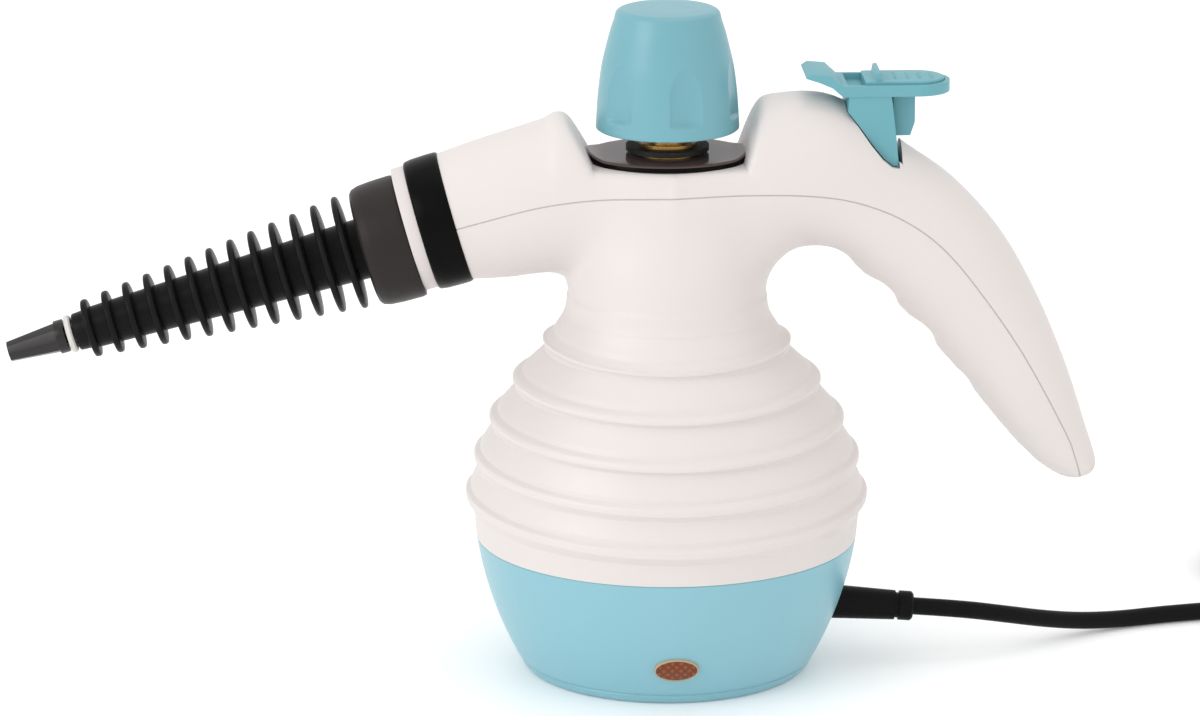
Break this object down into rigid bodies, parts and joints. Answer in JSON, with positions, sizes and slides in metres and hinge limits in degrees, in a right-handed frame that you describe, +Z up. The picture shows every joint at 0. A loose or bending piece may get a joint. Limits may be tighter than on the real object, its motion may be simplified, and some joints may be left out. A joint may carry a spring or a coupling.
{
  "type": "handheld steam cleaner",
  "caption": "Handheld steam cleaner: round stepped boiler body, finned nozzle on a spout, pressure cap, drooping handle with steam trigger and lock, mains lead.",
  "frame": {"origin": "centre of the base on the floor", "axes": "+X to the handle, -X to the nozzle, +Z up, -Y to the viewer of the picture"},
  "size_m": [0.553, 0.1979, 0.2207],
  "materials": {
    "white_plastic": "satin",
    "blue_plastic": "gloss",
    "cap_blue": "satin",
    "trigger_blue": "satin",
    "black_plastic": "gloss",
    "dark_gloss": "gloss",
    "grey_plastic": "matte",
    "amber_lens": "ribbed",
    "clear_rim": "gloss",
    "bulb_glass": "clear",
    "cast_alloy": "as cast",
    "steel": "plain",
    "brass": "turned",
    "brass_blade": "polished",
    "copper_tube": "drawn",
    "black_rubber": "matte",
    "white_rubber": "matte",
    "cord_sheath": "satin"
  },
  "bodies": {
    "housing": {"upper_shell": "white_plastic", "lower_shell": "white_plastic", "shell_screws": "steel", "base_cup": "blue_plastic", "base_plate": "grey_plastic", "base_screws": "steel", "lamp_lens": "amber_lens", "lamp_bezel": "clear_rim", "lamp_bulb": "bulb_glass", "boiler_lower": "cast_alloy", "boiler_gasket": "white_rubber", "boiler_upper": "cast_alloy", "boiler_bolts": "steel", "heating_element": "steel", "thermostat": "grey_plastic", "thermal_fuse": "steel", "filler_neck": "brass", "collar_plate": "dark_gloss", "valve_body": "brass", "valve_spring": "steel", "steam_inlet": "copper_tube", "steam_outlet": "copper_tube", "spout_band": "black_plastic", "spout_ring": "white_plastic", "outlet_nipple": "brass", "pivot_pin": "steel", "terminal_block": "grey_plastic", "inner_lead": "cord_sheath", "strain_relief": "cord_sheath", "cord_lead": "cord_sheath", "cord_coil": "cord_sheath", "plug_body": "cord_sheath", "plug_blades": "brass_blade"},
    "trigger": {"trigger_lever": "trigger_blue"},
    "lock": {"lock_slider": "trigger_blue"},
    "valve": {"valve_plunger": "brass"},
    "cap_lifter": {"relief_poppet": "brass"},
    "cap_core": {"cap_plug": "brass", "cap_gasket": "black_rubber", "cap_spring": "steel"},
    "cap_grip": {"cap_shell": "cap_blue"},
    "nozzle": {"nozzle_collar": "black_plastic", "nozzle_barrel": "black_plastic", "nozzle_seal": "white_rubber", "nozzle_oring": "white_rubber", "nozzle_tip": "black_plastic"}
  },
  "joints": [
    {"name": "trigger_swing", "type": "hinge", "parent": "housing", "child": "trigger", "pos_m": [0.063, 0, 0.16], "axis": [0, 1, 0], "range_deg": [0, 6], "stiffness_Nm_per_rad": 0.8, "springref_deg": -3.44},
    {"name": "lock_slide", "type": "slide", "parent": "trigger", "child": "lock", "axis": [-1, 0, 0], "range_m": [0, 0.005]},
    {"name": "valve_push", "type": "slide", "parent": "housing", "child": "valve", "axis": [-1, 0, 0], "range_m": [0, 0.001], "deforming": ["valve_spring"]},
    {"name": "cap_lift", "type": "slide", "parent": "housing", "child": "cap_lifter", "axis": [0, 0, 1], "range_m": [0, 0.0075]},
    {"name": "cap_turn", "type": "hinge", "parent": "cap_lifter", "child": "cap_core", "pos_m": [0, 0, 0.174], "axis": [0, 0, 1], "range_deg": [0, 1080]},
    {"name": "cap_press", "type": "slide", "parent": "cap_core", "child": "cap_grip", "axis": [0, 0, -1], "range_m": [0, 0.003], "stiffness_N_per_m": 800, "springref_m": -0.002, "deforming": ["cap_spring"]},
    {"name": "nozzle_twist", "type": "hinge", "parent": "housing", "child": "nozzle", "pos_m": [-0.08371, 0, 0.14635], "axis": [-0.9613, 0, -0.2756], "range_deg": [0, 30]}
  ],
  "couplings": [
    {"joint": "valve_push", "follows": "trigger_swing", "m_per_rad": 0.008},
    {"joint": "cap_turn", "follows": "cap_lift", "rad_per_m": 2513.3}
  ]
}
